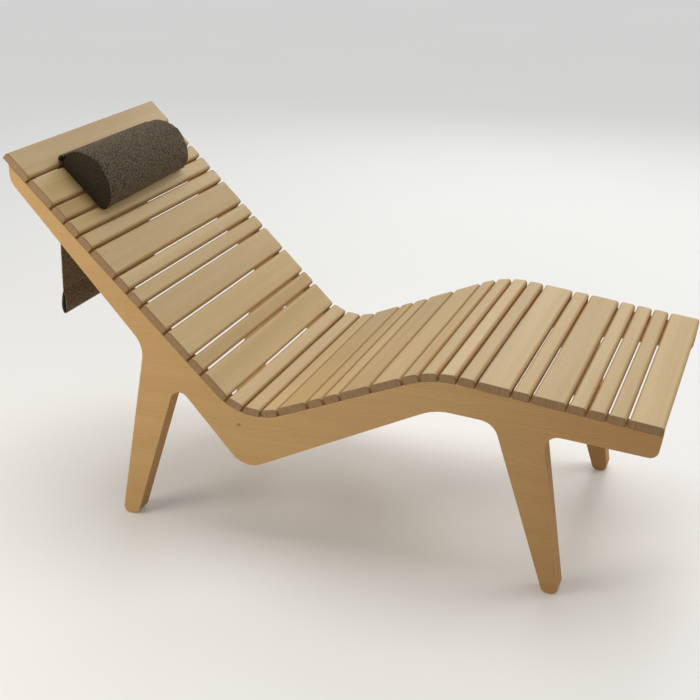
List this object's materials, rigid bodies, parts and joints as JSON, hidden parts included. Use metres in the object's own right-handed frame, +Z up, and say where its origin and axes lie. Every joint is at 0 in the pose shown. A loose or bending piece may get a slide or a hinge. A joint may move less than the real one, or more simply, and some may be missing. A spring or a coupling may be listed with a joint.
{
  "type": "spa relaxation lounger",
  "caption": "Wave-shaped slatted wooden relaxation lounger with integral legs and a sliding woven headrest held by a counterweight flap behind the back.",
  "frame": {"origin": "on the floor, at the middle of the bed's length and width", "axes": "+X from the head end to the foot end, +Y across the bed to its far side in the picture, +Z up"},
  "size_m": [1.5538, 0.7, 0.8893],
  "materials": {
    "panel_wood": "satin lacquered, fine horizontal grain",
    "slat_wood": "satin lacquered, straight grain along each slat",
    "dowel_wood": "plain turned wood",
    "woven_cover": "coarse woven, matt",
    "foam": "soft open foam",
    "bar_steel": "plain flat bar"
  },
  "bodies": {
    "frame": {"side_panel_near": "panel_wood", "side_panel_far": "panel_wood", "slat_01": "slat_wood", "slat_02": "slat_wood", "slat_03": "slat_wood", "slat_04": "slat_wood", "slat_05": "slat_wood", "slat_06": "slat_wood", "slat_07": "slat_wood", "slat_08": "slat_wood", "slat_09": "slat_wood", "slat_10": "slat_wood", "slat_11": "slat_wood", "slat_12": "slat_wood", "slat_13": "slat_wood", "slat_14": "slat_wood", "slat_15": "slat_wood", "slat_16": "slat_wood", "slat_17": "slat_wood", "slat_18": "slat_wood", "slat_19": "slat_wood", "slat_20": "slat_wood", "slat_21": "slat_wood", "slat_22": "slat_wood", "slat_23": "slat_wood", "slat_24": "slat_wood", "slat_25": "slat_wood", "slat_26": "slat_wood", "slat_27": "slat_wood", "slat_28": "slat_wood", "slat_29": "slat_wood", "slat_30": "slat_wood", "slat_31": "slat_wood", "slat_dowels_near": "dowel_wood", "slat_dowels_far": "dowel_wood", "headrest_strap": "woven_cover", "counterweight_flap": "woven_cover"},
    "headrest": {"headrest_cover": "woven_cover", "headrest_foam": "foam"},
    "counterweight": {"counterweight_pocket": "woven_cover", "counterweight_bar": "bar_steel"}
  },
  "joints": [
    {"name": "headrest_slide", "type": "slide", "parent": "frame", "child": "headrest", "axis": [0.7161, 0, -0.698], "range_m": [0, 0.28]},
    {"name": "counterweight_lift", "type": "slide", "parent": "frame", "child": "counterweight", "axis": [0, 0, 1], "range_m": [0, 0.28], "deforming": ["counterweight_flap"]}
  ],
  "couplings": [
    {"joint": "counterweight_lift", "follows": "headrest_slide", "ratio": 1}
  ]
}
